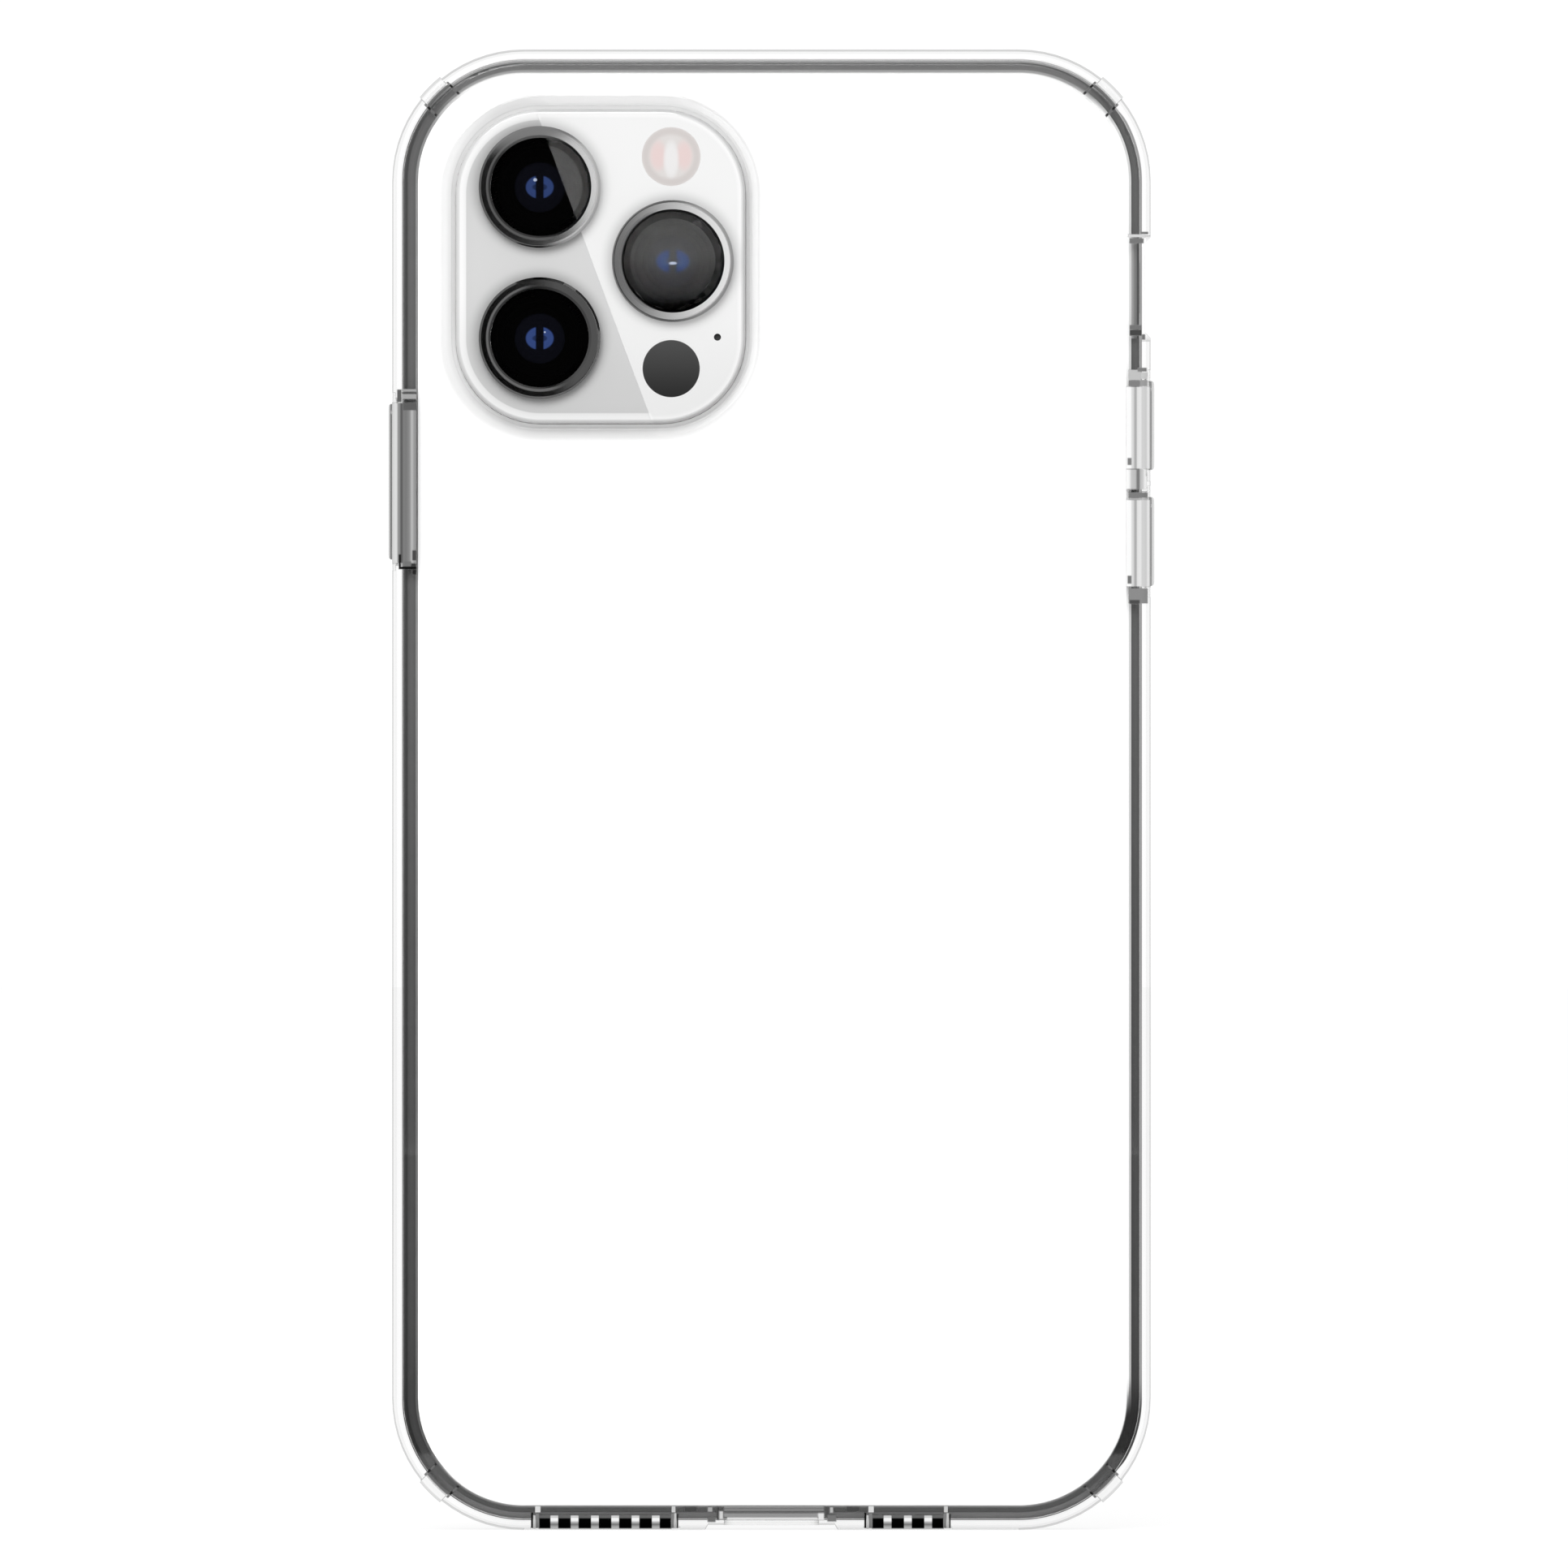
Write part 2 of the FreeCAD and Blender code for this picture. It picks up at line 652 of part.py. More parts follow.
glass = new_body("display_glass")
pad(outline(glass, "display_front", "display_inset"), "display_front - display_back")
soften_outline(glass, "display_front", "display_inset", "edge_round_back / 2")
earpiece_slot = new_sketch(glass, "XZ", "display_back - 1")
rounded(earpiece_slot, "0", "earpiece_z", "earpiece_width", "earpiece_height",
        "earpiece_height / 2 - 0.02")
circle(earpiece_slot, "0", "camera_z", "camera_radius")
pocket(earpiece_slot, "display_front - display_back + 2")

earpiece = new_body("earpiece_mesh")
strip = new_sketch(earpiece, "XZ", "display_front - 0.3")
rounded(strip, "0", "earpiece_z", "earpiece_width", "earpiece_height",
        "earpiece_height / 2 - 0.02")
pad(strip, "display_front - 0.3 - display_back")

front_camera = new_body("front_camera_lens")
disc = new_sketch(front_camera, "XZ", "display_front - 0.1")
circle(disc, "0", "camera_z", "camera_radius")
pad(disc, "display_front - 0.1 - display_back")

# Phone: parts in the bottom edge

shell = new_body("port_shell")
tube = new_sketch(shell, "XY", "shell_bottom")
rounded(tube, "0", "0", "shell_width", "shell_depth", "shell_depth / 2 - 0.05")
pad(tube, "shell_top - shell_bottom")
hollow = new_sketch(shell, "XY", "shell_floor")
rounded(hollow, "0", "0", "shell_width - 2 * shell_wall", "shell_depth - 2 * shell_wall",
        "shell_depth / 2 - shell_wall - 0.05")
pocket(hollow, "shell_floor")

tongue = new_body("port_tongue")
blade = new_sketch(tongue, "XY", "tongue_bottom")
rounded(blade, "0", "0", "tongue_width", "tongue_depth", "tongue_depth / 2 - 0.05")
pad(blade, "shell_floor - tongue_bottom")

screws = new_body("bottom_screws")
shanks = new_sketch(screws, "XY", "wall + fit_gap + screw_recess")
circle(shanks, "-screw_x", "0", "screw_radius")
circle(shanks, "screw_x", "0", "screw_radius")
pad(shanks, "screw_length")
slots = new_sketch(screws, "XY", "wall + fit_gap + screw_recess + 0.25")
for side in (-1, 1):
    rectangle(slots, f"{side} * screw_x - screw_slot / 2", "-0.5",
              f"{side} * screw_x + screw_slot / 2", "0.5")
pocket(slots, "1")

for name, start, count in (("left", "left_hole_x", LEFT_HOLES),
                           ("right", "right_hole_x", RIGHT_HOLES)):
    low, high = grille_ends(start, count)
    mesh = new_body("speaker_mesh_" + name)
    strip = new_sketch(mesh, "XY", glass_inset)
    rectangle(strip, low, "-grille_depth / 3", high, "grille_depth / 3")
    pad(strip, "mesh_thickness")

# Phone: camera island and what sits in it

island = new_body("camera_island")
pad(island_outline(island, "back_glass_front", "0"), "back_glass_front - island_face")
soften_island(island, "island_face", "0", "island_round")
for x, z in LENSES.values():
    bore = new_sketch(island, "XZ", "island_face - 1")
    circle(bore, x, z, "ring_radius")
    pocket(bore, "lens_seat - island_face + 1")
for x, z, radius in (("flash_x", "flash_z", "flash_radius"),
                     ("sensor_x", "sensor_z", "sensor_radius"),
                     ("mic_x", "mic_z", "mic_radius")):
    bore = new_sketch(island, "XZ", "island_face - 1")
    circle(bore, x, z, radius)
    pocket(bore, "flash_seat - island_face + 1")

for name, centre in LENSES.items():
    turned("lens_ring_" + name, centre, [
        ("lens_glass_radius", "lens_seat"),
        ("ring_radius", "lens_seat"),
        ("ring_radius", "ring_top + ring_chamfer"),
        ("ring_radius - ring_chamfer", "ring_top"),
        ("ring_mouth", "ring_top"),
        ("lens_glass_radius", "lens_glass_top"),
    ])
    turned("lens_glass_" + name, centre, [
        ("0", "lens_glass_bottom"),
        ("lens_glass_radius", "lens_glass_bottom"),
        ("lens_glass_radius", "lens_glass_top"),
        ("0", "lens_glass_top"),
    ])
    turned("lens_barrel_" + name, centre, [
        ("0", "lens_seat"),
        ("lens_glass_radius", "lens_seat"),
        ("lens_glass_radius", "lens_glass_bottom"),
        ("barrel_top_radius", "lens_glass_bottom"),
        ("barrel_top_radius - 0.4", "barrel_step - 0.25"),
        ("barrel_top_radius - 0.6", "barrel_step - 0.25"),
        ("barrel_bore + 0.5", "barrel_step + 0.1"),
        ("barrel_bore", "barrel_step + 0.1"),
        ("barrel_bore", "barrel_floor"),
        ("0", "barrel_floor"),
    ])
    turned("lens_element_" + name, centre, [
        ("0", "barrel_floor"),
        ("barrel_bore", "barrel_floor"),
        ("barrel_bore", "element_edge"),
        ("barrel_bore * 0.7", "element_crown * 0.6 + element_edge * 0.4"),
        ("barrel_bore * 0.35", "element_crown * 0.9 + element_edge * 0.1"),
        ("0", "element_crown"),
    ])

emitters = new_body("flash_emitters")
chips = new_sketch(emitters, "XZ", "flash_seat")
for x_sign in (-1, 1):
    for z_sign in (-1, 1):
        rounded(chips, f"flash_x + {x_sign} * emitter_offset",
                f"flash_z + {z_sign} * emitter_offset", "emitter_size", "emitter_size", "0.2")
pad(chips, "flash_seat - flash_under")

flash = new_body("flash_window")
disc = new_sketch(flash, "XZ", "flash_under")
circle(disc, "flash_x", "flash_z", "flash_radius")
pad(disc, "flash_under - island_face")

sensor = new_body("depth_sensor_window")
disc = new_sketch(sensor, "XZ", "flash_seat")
circle(disc, "sensor_x", "sensor_z", "sensor_radius")
pad(disc, "flash_seat - island_face")

mic = new_body("rear_mic_insert")
disc = new_sketch(mic, "XZ", "flash_seat")
circle(disc, "mic_x", "mic_z", "mic_radius")
pad(disc, "flash_seat - mic_top")

# Check everything, then write one file for each sub-part

doc.recompute()
for item in doc.Objects:
    if "Invalid" in item.State or "Error" in item.State:
        raise RuntimeError(f"{item.Label} failed: {item.State}")
bodies = [item for item in doc.Objects if item.TypeId == "PartDesign::Body"]
for body in bodies:
    if body.Shape.isNull() or not body.Shape.isValid():
        raise RuntimeError(f"{body.Label} has no valid shape")

os.makedirs("parts", exist_ok=True)
for body in bodies:
    body.Shape.exportStep(f"parts/{body.Label}.step")
    box = body.Shape.BoundBox
    print(f"{body.Label:26s} {len(body.Shape.Solids)} solid(s) {body.Shape.Volume:10.2f} mm3 "
          f"x {box.XMin:7.2f} {box.XMax:7.2f} y {box.YMin:6.2f} {box.YMax:6.2f} "
          f"z {box.ZMin:7.2f} {box.ZMax:7.2f}")
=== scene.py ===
import math

import bpy
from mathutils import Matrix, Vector

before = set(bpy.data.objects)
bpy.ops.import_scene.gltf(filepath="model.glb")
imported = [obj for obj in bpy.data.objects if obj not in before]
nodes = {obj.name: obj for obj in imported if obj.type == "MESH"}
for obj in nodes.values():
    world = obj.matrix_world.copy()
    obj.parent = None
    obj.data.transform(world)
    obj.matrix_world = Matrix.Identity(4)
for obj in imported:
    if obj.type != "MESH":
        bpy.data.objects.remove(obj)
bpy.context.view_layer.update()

# Sizes in millimetres, as in the CAD model
CASE_WIDTH, CASE_HEIGHT, CASE_RADIUS = 74.8, 146.0, 13.0
RIM_DEPTH = 9.8
REAR_Y = -3.8  # Faces behind this belong to the rear of the rim
ISLAND = {"centre": (-16.84, 124.56), "half": (14.3, 15.5), "radius": 8.4}
LENSES = {"upper": (-22.84, 132.4), "lower": (-22.84, 117.5), "side": (-9.72, 125.1)}
FLASH = (-9.88, 135.4)
SENSOR = (-9.88, 114.5)
NOTCH = (117.5, 127.5)  # Heights of the mute switch's notch
LOWER_TURN = (15.5, 11.0)  # Heights between which the sides run into the lower corners
GRILLES = ((-22.4, 7), (10.45, 4))  # First speaker hole's x and the number of holes
HOLE_PITCH = 2.0
LIGHT = 1.64  # Light on a face turned to the camera
FACE_LIGHT = 1.32  # The same, under the island's clear coat
SKY = 1.06  # Brightness of the studio behind the case


class Shade:
    """A node material with short ways to add nodes."""

    def __init__(self, name):
        self.material = bpy.data.materials.new(name)
        self.material.use_nodes = True
        self.tree = self.material.node_tree
        self.tree.nodes.clear()
        self.output = self.tree.nodes.new("ShaderNodeOutputMaterial")
        self.place = None

    def node(self, kind, inputs=(), **settings):
        """Add a node; inputs are (socket, value or output socket) pairs."""
        made = self.tree.nodes.new(kind)
        for key, setting in settings.items():
            setattr(made, key, setting)
        for key, given in inputs:
            self.feed(made.inputs[key], given)
        return made

    def feed(self, socket, given):
        """Link an output socket to an input, or set the input's value."""
        if isinstance(given, bpy.types.NodeSocket):
            self.tree.links.new(given, socket)
        else:
            socket.default_value = given

    def math(self, operation, *given):
        """Add a Math node and return its result."""
        return self.node("ShaderNodeMath", enumerate(given), operation=operation).outputs[0]

    def axes(self):
        """The piece's own x, y and z in millimetres."""
        if self.place is None:
            coordinate = self.node("ShaderNodeTexCoord").outputs["Object"]
            scaled = self.node("ShaderNodeVectorMath", ((0, coordinate),), operation="SCALE")
            scaled.inputs["Scale"].default_value = 1000
            self.place = self.node("ShaderNodeSeparateXYZ", ((0, scaled.outputs[0]),)).outputs
        return self.place

    def span(self, given, low, high, start=0.0, end=1.0, smooth=True):
        """Map a value from low..high to start..end."""
        made = self.node(
            "ShaderNodeMapRange",
            (("Value", given), ("From Min", low), ("From Max", high),
             ("To Min", start), ("To Max", end)),
            interpolation_type="SMOOTHSTEP" if smooth else "LINEAR", clamp=True)
        return made.outputs["Result"]

    def ramp(self, given, stops):
        """Grey stops along a value."""
        made = self.node("ShaderNodeValToRGB", ((0, given),))
        elements = made.color_ramp.elements
        while len(elements) < len(stops):
            elements.new(0.5)
        for element, (position, tone) in zip(elements, stops):
            element.position = position
            element.color = grey(tone)
        return made.outputs[0]

    def mix(self, factor, first, second):
        """Mix two colours."""
        made = self.node("ShaderNodeMix", data_type="RGBA")
        colours = [s for s in made.inputs if s.type == "RGBA"]
        self.feed(made.inputs[0], factor)
        self.feed(colours[0], first)
        self.feed(colours[1], second)
        return next(s for s in made.outputs if s.type == "RGBA")

    def tinted(self, colour, other):
        """Multiply two colours."""
        made = self.node("ShaderNodeMix", data_type="RGBA", blend_type="MULTIPLY")
        colours = [s for s in made.inputs if s.type == "RGBA"]
        self.feed(made.inputs[0], 1.0)
        self.feed(colours[0], colour)
        self.feed(colours[1], other)
        return next(s for s in made.outputs if s.type == "RGBA")

    def grey_from(self, level):
        """A grey colour from a value."""
        return self.node("ShaderNodeCombineColor", ((0, level), (1, level), (2, level))).outputs[0]

    def blend(self, factor, first, second):
        """Mix two shaders."""
        made = self.node("ShaderNodeMixShader", ((0, factor), (1, first), (2, second)))
        return made.outputs[0]

    def facing(self):
        """0 on a face turned to the viewer, 1 on a face seen edge on."""
        return self.node("ShaderNodeLayerWeight", (("Blend", 0.5),)).outputs["Facing"]

    def gloss_share(self, facing, least, most):
        """How much a gloss reflects: more as a face turns edge on."""
        return self.span(self.math("POWER", facing, 5.0), 0.0, 1.0, least, most, smooth=False)

    def normal_y(self):
        """The y part of the surface's direction."""
        normal = self.node("ShaderNodeTexCoord").outputs["Normal"]
        return self.node("ShaderNodeSeparateXYZ", ((0, normal),)).outputs[1]

    def length(self, a, b):
        """The length of the vector (a, b)."""
        return self.math("SQRT", self.math("ADD", self.math("MULTIPLY", a, a),
                                           self.math("MULTIPLY", b, b)))

    def oval(self, across, up, wide, tall):
        """1 on an ellipse about the origin, less inside it and more outside."""
        return self.math("ADD", self.math("POWER", self.math("DIVIDE", across, wide), 2.0),
                         self.math("POWER", self.math("DIVIDE", up, tall), 2.0))

    def outline(self, centre, half, radius):
        """Distance outside a rectangle with round corners, seen along Y, in millimetres."""
        x, _, z = self.axes()
        sides = []
        for place, middle, reach in ((x, centre[0], half[0]), (z, centre[1], half[1])):
            away = self.math("ABSOLUTE", self.math("SUBTRACT", place, middle))
            sides.append(self.math("SUBTRACT", away, reach - radius))
        a, b = (self.math("MAXIMUM", side, 0.0) for side in sides)
        corner = self.length(a, b)
        inner = self.math("MINIMUM", self.math("MAXIMUM", *sides), 0.0)
        return self.math("SUBTRACT", self.math("ADD", corner, inner), radius)

    def disc(self, centre):
        """Distance from a round piece's axis, in millimetres."""
        x, _, z = self.axes()
        return self.length(self.math("SUBTRACT", x, centre[0]),
                           self.math("SUBTRACT", z, centre[1]))

    def principled(self, colour, roughness=0.4, metallic=0.0, **more):
        """Add the main shader and return its result."""
        made = self.node("ShaderNodeBsdfPrincipled")
        self.feed(made.inputs["Base Color"], colour)
        self.feed(made.inputs["Roughness"], roughness)
        self.feed(made.inputs["Metallic"], metallic)
        for key, given in more.items():
            self.feed(made.inputs[key.replace("_", " ")], given)
        return made.outputs[0]

    def done(self, shader):
        """Finish the material with a surface shader."""
        self.feed(self.output.inputs["Surface"], shader)
        return self.material

    def window(self, low_x, high_x, low_z, high_z, soft=0.06):
        """1 inside a rectangle seen along Y, 0 outside, with a soft edge."""
        x, _, z = self.axes()
        masks = []
        for place, low, high in ((x, low_x, high_x), (z, low_z, high_z)):
            away = self.math("ABSOLUTE", self.math("SUBTRACT", place, (low + high) / 2))
            half = (high - low) / 2
            masks.append(self.span(away, half - soft, half + soft, 1.0, 0.0, False))
        return self.math("MULTIPLY", *masks)

    def strip(self, given, stops, light=LIGHT):
        """Grey tones along a distance in millimetres, as screen values with white at 255."""
        low, high = stops[0][0], stops[-1][0]
        return self.ramp(self.span(given, low, high, smooth=False), [
            ((at - low) / (high - low), min(linear(tone) / light, 1.0)) for at, tone in stops])

    def case_depth(self):
        """Distance in from the case's outline, in millimetres."""
        distance = self.outline((0, CASE_HEIGHT / 2), (CASE_WIDTH / 2, CASE_HEIGHT / 2),
                                CASE_RADIUS)
        return self.math("MULTIPLY", distance, -1.0)

    def around(self, left, right, bottom, top):
        """Mix four colours by the side of the case they belong to, merging in the corners."""
        x, _, z = self.axes()
        side = self.mix(self.math("GREATER_THAN", x, 0.0), left, right)
        end = self.mix(self.math("GREATER_THAN", z, CASE_HEIGHT / 2), bottom, top)
        over_x = self.math("SUBTRACT", self.math("ABSOLUTE", x), CASE_WIDTH / 2)
        over_z = self.math("SUBTRACT",
                           self.math("ABSOLUTE", self.math("SUBTRACT", z, CASE_HEIGHT / 2)),
                           CASE_HEIGHT / 2)
        return self.mix(self.span(self.math("SUBTRACT", over_z, over_x), -5.0, 5.0), side, end)

    def clear(self, face=1.0, edge=0.86, start=0.3, gloss=0.04, most=0.55, flat=False):
        """Clear plastic: see-through face on, greyer edge on with painted shade for the light it
        bends away, under a gloss.
        """
        facing = self.facing()
        colour = self.grey_from(self.span(facing, start, 0.8, face, edge))
        through = self.node("ShaderNodeBsdfTransparent", ((0, colour),)).outputs[0]
        shine = self.node("ShaderNodeBsdfGlossy", (("Roughness", 0.02),))
        if flat:
            geometry = self.node("ShaderNodeNewGeometry")
            self.feed(shine.inputs["Normal"], geometry.outputs["True Normal"])
        return self.blend(self.gloss_share(facing, gloss, most), through, shine.outputs[0])


def linear(tone):
    """The linear value of a screen tone from 0 to 255."""
    level = tone / 255
    return level / 12.92 if level <= 0.04045 else ((level + 0.055) / 1.055) ** 2.4


def grey(tone):
    """A grey as a colour value."""
    return (tone, tone, tone, 1)


def paint(red, green=None, blue=None):
    """The colour that shows as the given screen tones under the studio light."""
    tones = (red, red, red) if green is None else (red, green, blue)
    return (*(min(linear(tone) / LIGHT, 1.0) for tone in tones), 1)


def assign(material, *names):
    """Give CAD nodes a material."""
    for name in names:
        mesh = nodes[name].data
        for index in range(max(len(mesh.materials), 1)):
            if index < len(mesh.materials):
                mesh.materials[index] = material
            else:
                mesh.materials.append(material)


# Case

# Bands of bent light over the keys: (x low, x high, z low, z high), then tones along x
LEFT_STRIPES = [
    (-37.4, 225), (-36.95, 225), (-36.8, 150), (-36.65, 140), (-36.52, 94), (-36.38, 100),
    (-36.28, 127), (-36.0, 123), (-35.7, 140), (-35.55, 165), (-35.45, 190), (-35.33, 172),
    (-35.2, 153), (-34.9, 139)]
RIGHT_STRIPES = [
    (35.0, 255), (35.42, 252), (35.52, 224), (35.68, 216), (35.82, 178), (35.95, 174),
    (36.08, 226), (36.4, 232), (36.55, 212), (36.95, 214), (37.05, 236), (37.13, 253),
    (37.24, 250), (37.33, 190), (37.4, 180)]
BRIDGE_STRIPES = [
    (35.0, 255), (35.2, 250), (35.3, 241), (35.5, 200), (35.9, 190), (36.05, 125),
    (36.25, 125), (36.35, 186), (36.6, 206), (36.8, 240), (36.85, 252)]
KEY_ZONES = (
    ((-37.4, -34.9, 95.3, 111.15), LEFT_STRIPES), ((35.0, 37.4, 104.6, 112.75), RIGHT_STRIPES),
    ((35.0, 37.4, 93.0, 101.6), RIGHT_STRIPES), ((35.0, 36.85, 102.6, 104.6), BRIDGE_STRIPES))
# Small reflections at the ends of the keys and openings, as rectangles with a tone
GLINTS = (
    (-36.9, -36.45, 111.2, 112.45, 100), (-36.45, -34.9, 111.5, 112.02, 168),
    (-36.45, -34.9, 112.02, 112.2, 86), (-36.45, -34.9, 112.22, 112.5, 165),
    (-36.3, -34.9, 110.4, 111.15, 96), (-36.3, -35.5, 94.95, 95.5, 118),
    (-36.75, -34.9, 94.72, 95.0, 16), (-36.75, -36.5, 94.9, 96.2, 30),
    (-35.4, -35.0, 95.6, 96.6, 75), (-35.4, -35.0, 94.2, 94.7, 40),
    (35.2, 36.35, 112.75, 113.35, 132), (36.35, 37.05, 112.75, 113.4, 160),
    (35.2, 36.4, 113.35, 114.4, 196), (36.4, 37.05, 113.5, 114.15, 204),
    (36.1, 37.0, 114.2, 114.6, 130), (35.2, 37.1, 101.75, 102.3, 128),
    (35.2, 37.1, 101.55, 101.75, 182), (35.2, 37.1, 91.35, 92.85, 142),
    (35.3, 36.3, 91.3, 91.7, 80), (35.1, 35.5, 93.3, 94.1, 120), (35.1, 35.5, 105.0, 105.7, 130),
    (36.4, 37.15, 127.75, 128.0, 120), (35.15, 36.9, 127.45, 127.75, 218),
    (35.3, 36.7, 126.85, 127.35, 122), (35.3, 36.5, 117.75, 118.35, 74),
    (35.3, 36.5, 118.35, 118.8, 118), (36.5, 36.85, 117.35, 117.9, 120),
)
# The port: a lighter length of rim with flecks in its flared ends, all painted reflection and
# shade, in the same form
PORT_GLINTS = (
    (-4.7, 5.2, 2.2, 2.4, 160), (-4.7, 5.2, 1.85, 2.2, 134), (-4.7, 5.2, 1.7, 1.85, 104),
    (-4.7, 5.2, 1.3, 1.7, 150), (-4.4, 4.6, 1.02, 1.3, 226),
    (-8.6, -7.35, 1.8, 2.3, 72), (7.4, 8.7, 1.8, 2.3, 72),
    (-5.4, -5.1, 1.0, 2.3, 70), (-5.15, -4.75, 1.1, 1.9, 215), (-6.3, -5.5, 0.8, 1.3, 110),
    (5.3, 5.7, 1.3, 2.3, 80), (4.6, 5.2, 1.0, 1.7, 232), (5.5, 6.4, 0.85, 1.5, 120),
    (5.75, 6.1, 1.7, 2.3, 190), (-6.3, -5.8, 1.8, 2.3, 170),
)


def lay(shade, tone, cover, patches, soft=0.06):
    """Lay flat patches (x low, x high, z low, z high, tone) over a tone and its cover."""
    for low_x, high_x, low_z, high_z, level in patches:
        area = shade.window(low_x, high_x, low_z, high_z, soft)
        tone = shade.mix(area, tone, paint(level))
        cover = shade.math("MAXIMUM", cover, area)
    return tone, cover


def rim_plastic(shade, depth, behind):
    """The rim's clear plastic: fine lines of painted bent light along its rear face, and painted
    shade that greys its walls.
    """
    rim = shade.strip(depth, [(0.0, 256), (0.14, 250), (0.42, 247), (0.52, 259), (0.8, 260),
                              (0.95, 250), (1.05, 262)], SKY)
    facing = shade.facing()
    # Painted shade: the walls, and faces seen edge on, are greyer
    wall = shade.math("MAXIMUM", shade.span(shade.axes()[1], 3.9, 4.2),
                      shade.span(shade.math("ABSOLUTE", shade.normal_y()), 0.3, 0.8, 0.8, 1.0))
    sheer = shade.math("MULTIPLY", wall, shade.span(facing, 0.55, 1.0, 1.0, 0.8))
    tint = shade.mix(behind, shade.grey_from(sheer), rim)
    through = shade.node("ShaderNodeBsdfTransparent", ((0, tint),)).outputs[0]
    shine = shade.node("ShaderNodeBsdfGlossy", (("Roughness", 0.02),)).outputs[0]
    return shade.blend(shade.gloss_share(facing, 0.035, 0.45), through, shine)


def inner_line(shade, depth):
    """The grey line where the rim meets the phone, painted bent light of the band that differs by
    side: its tone and its cover.
    """
    x, _, z = shade.axes()
    start = shade.span(x, 34.0, 35.0, 0.98, 0.85)
    inward = shade.math("SUBTRACT", depth, start)
    cover = shade.math("MULTIPLY", shade.span(inward, 0.0, 0.06),
                       shade.span(depth, 1.08, 1.14, 1.0, 0.0))
    lower = shade.span(z, *LOWER_TURN)
    tone = shade.around(shade.mix(lower, paint(114), paint(80)),
                        shade.mix(lower, paint(158), paint(76)),
                        shade.mix(shade.span(z, 2.4, 4.5), paint(110), paint(78)), paint(182))
    return tone, cover


def corner_marks(shade, depth, tone, cover):
    """A darker step at each corner, with black flecks at its ends: painted light and shade of the
    band seen bent through the corner.
    """
    x, _, z = shade.axes()
    across_x = shade.math("SUBTRACT", shade.math("ABSOLUTE", x), CASE_WIDTH / 2 - CASE_RADIUS)
    across_z = shade.math("SUBTRACT",
                          shade.math("ABSOLUTE", shade.math("SUBTRACT", z, CASE_HEIGHT / 2)),
                          CASE_HEIGHT / 2 - CASE_RADIUS)
    along = shade.math("ABSOLUTE", shade.math(
        "MULTIPLY", shade.math("SUBTRACT", across_x, across_z), math.sqrt(0.5)))
    corner = shade.math("GREATER_THAN", across_x, 4.0)
    step = shade.math("MULTIPLY", shade.span(along, 1.4, 1.5, 1.0, 0.0),
                      shade.math("MULTIPLY", shade.span(depth, 0.82, 0.92),
                                 shade.span(depth, 1.14, 1.2, 1.0, 0.0)))
    step = shade.math("MULTIPLY", step, corner)
    tone = shade.mix(step, tone, shade.strip(depth, [(0.8, 122), (1.2, 98)]))
    end = shade.math("MULTIPLY", shade.span(along, 1.38, 1.46),
                     shade.span(along, 1.62, 1.7, 1.0, 0.0))
    fleck = shade.math("MULTIPLY", shade.math("MULTIPLY", end, corner),
                       shade.math("MULTIPLY", shade.span(depth, 0.55, 0.7),
                                  shade.span(depth, 2.3, 2.4, 1.0, 0.0)))
    tone = shade.mix(fleck, tone, shade.strip(depth, [
        (0.5, 225), (0.75, 110), (0.95, 150), (1.1, 34), (1.35, 30), (1.5, 112), (1.95, 112),
        (2.1, 30), (2.25, 60), (2.4, 190)]))
    return tone, shade.math("MAXIMUM", cover, shade.math("MAXIMUM", step, fleck))


def speaker_marks(shade, tone, cover, start, count):
    """One speaker strip: posts with painted light between holes darkened with painted shade, with
    flecks of painted light and shade at both ends.
    """
    x, _, z = shade.axes()
    end = start + (count - 1) * HOLE_PITCH
    area = shade.window(start - 0.55, end + 0.55, 0.12, 1.5)
    # Half a pitch puts the hole in the middle of its cell, whole ones keep the value above 0
    place = shade.math("ADD", shade.math("SUBTRACT", x, start), 100.5 * HOLE_PITCH)
    cell = shade.math("ABSOLUTE", shade.math("SUBTRACT", shade.math(
        "MODULO", place, HOLE_PITCH), HOLE_PITCH / 2))
    # Painted light and shade down each post, and painted shade deep in the holes
    posts = shade.strip(z, [(0.12, 225), (0.35, 190), (0.55, 128), (0.75, 170), (0.95, 246),
                            (1.2, 250), (1.22, 205), (1.42, 210), (1.5, 110)])
    gap = shade.span(cell, 0.58, 0.66)
    holes = shade.strip(z, [(0.12, 235), (0.2, 60), (0.26, 2), (1.14, 4), (1.24, 100),
                            (1.5, 104)])
    tone = shade.mix(area, tone, shade.mix(gap, holes, posts))
    cover = shade.math("MAXIMUM", cover, area)
    return lay(shade, tone, cover, (
        (start - 1.3, start - 1.08, 0.2, 1.75, 12), (start - 1.08, start - 0.85, 0.15, 1.5, 205),
        (start - 0.85, start - 0.5, 0.2, 1.7, 128), (start - 0.9, start - 0.35, 1.75, 2.4, 222),
        (end + 0.5, end + 0.8, 0.2, 1.7, 128), (end + 0.8, end + 1.05, 0.2, 1.7, 200),
        (end + 1.05, end + 1.22, 0.2, 1.6, 40), (end + 0.55, end + 0.95, 1.75, 2.4, 205)), 0.04)


